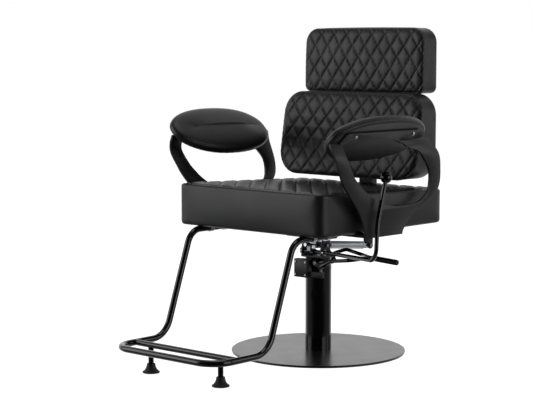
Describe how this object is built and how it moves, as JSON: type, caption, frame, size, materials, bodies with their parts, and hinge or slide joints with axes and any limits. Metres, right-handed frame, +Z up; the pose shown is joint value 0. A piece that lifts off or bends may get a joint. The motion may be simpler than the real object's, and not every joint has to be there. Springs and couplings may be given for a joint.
{
  "type": "reclining salon chair",
  "caption": "Quilted reclining salon chair with wide sloped armrests, footrest, hydraulic column and round floor disc.",
  "frame": {"origin": "centre of the floor disc's underside, on the floor and on the column's axis", "axes": "+Z up along the column; -Y towards the footrest, the way the sitter faces; +X to the sitter's left"},
  "size_m": [0.8426, 1.088, 1.114],
  "materials": {
    "leather_black": "soft satin upholstery leather",
    "frame_black": "satin powder coat",
    "gloss_black": "gloss enamel",
    "disc_black": "semi-gloss enamel",
    "steel": "zinc plated",
    "silver": "bright silver paint and ground rod",
    "brass": "turned",
    "nylon": "moulded",
    "rubber": "matt black",
    "plywood": "raw plywood"
  },
  "bodies": {
    "base": {"base_disc": "disc_black", "floor_pad": "rubber", "base_flange": "steel", "base_screws": "steel", "column_sleeve": "gloss_black", "guide_bush": "nylon", "piston_rod": "steel"},
    "lift": {"lift_tube": "steel", "rod_gland": "brass", "thrust_ring": "steel"},
    "seat": {"pump_head": "gloss_black", "oil_reservoir": "frame_black", "reservoir_screws": "steel", "mount_bracket": "frame_black", "bracket_bolts": "steel", "seat_channel": "frame_black", "channel_bolts": "steel", "hinge_rails": "frame_black", "hinge_pin": "steel", "arm_rails": "frame_black", "seat_board": "plywood", "seat_cushion": "leather_black", "footrest_frame": "gloss_black", "footrest_crossbar": "gloss_black", "footrest_clamps": "steel", "clamp_screws": "steel", "footrest_stems": "gloss_black", "footrest_feet": "rubber", "arm_frame_left": "frame_black", "arm_frame_right": "frame_black", "arm_bolts": "steel", "arm_board_left": "plywood", "arm_board_right": "plywood", "arm_pad_left": "leather_black", "arm_pad_right": "leather_black", "arm_screws": "steel", "gas_pivot_bolt": "steel", "gas_spacers": "steel"},
    "plunger": {"pump_plunger": "steel"},
    "pedal": {"pedal_shaft": "steel", "pedal_fork": "gloss_black", "pedal_grip": "rubber"},
    "lever": {"recline_lever": "gloss_black", "lever_knob": "gloss_black", "lever_collars": "steel", "lever_cam": "steel", "cam_screw": "silver"},
    "gas_rod_body": {"gas_head": "steel", "gas_rod": "silver"},
    "release": {"release_pin": "brass"},
    "gas_cylinder_body": {"gas_cylinder": "silver", "gas_eye": "steel"},
    "back": {"back_spine": "frame_black", "eye_pin": "steel", "back_plates": "frame_black", "back_bolts": "steel", "back_board": "plywood", "back_cushion": "leather_black", "head_board": "plywood", "head_cushion": "leather_black"}
  },
  "joints": [
    {"name": "lift", "type": "slide", "parent": "base", "child": "lift", "axis": [0, 0, 1], "range_m": [0, 0.15]},
    {"name": "swivel", "type": "hinge", "parent": "lift", "child": "seat", "pos_m": [0, 0, 0.29], "axis": [0, 0, 1], "continuous": true},
    {"name": "recline", "type": "hinge", "parent": "seat", "child": "back", "pos_m": [0, 0.252, 0.424], "axis": [-1, 0, 0], "range_deg": [0, 30]},
    {"name": "spring_tilt", "type": "hinge", "parent": "seat", "child": "gas_rod_body", "pos_m": [0, -0.01, 0.372], "axis": [-1, 0, 0], "range_deg": [0, 1.7]},
    {"name": "spring_stroke", "type": "slide", "parent": "gas_rod_body", "child": "gas_cylinder_body", "axis": [0, -0.9949, 0.1012], "range_m": [0, 0.0435]},
    {"name": "recline_lever", "type": "hinge", "parent": "seat", "child": "lever", "pos_m": [0, -0.028, 0.35], "axis": [-1, 0, 0], "range_deg": [0, 8], "stiffness_Nm_per_rad": 8, "springref_deg": -5.73},
    {"name": "release", "type": "slide", "parent": "gas_rod_body", "child": "release", "axis": [0, 0.9949, -0.1012], "range_m": [0, 0.0037]},
    {"name": "pump_pedal", "type": "hinge", "parent": "seat", "child": "pedal", "pos_m": [0.026, 0, 0.315], "axis": [0, 1, 0], "range_deg": [0, 14], "stiffness_Nm_per_rad": 14, "springref_deg": -6.88},
    {"name": "pump_stroke", "type": "slide", "parent": "seat", "child": "plunger", "axis": [0, 0, -1], "range_m": [0, 0.0069]}
  ],
  "couplings": [
    {"joint": "spring_tilt", "follows": "recline", "ratio": 0.0534},
    {"joint": "spring_stroke", "follows": "recline", "m_per_rad": 0.0821},
    {"joint": "release", "follows": "recline_lever", "m_per_rad": 0.026},
    {"joint": "pump_stroke", "follows": "pump_pedal", "m_per_rad": 0.028}
  ]
}
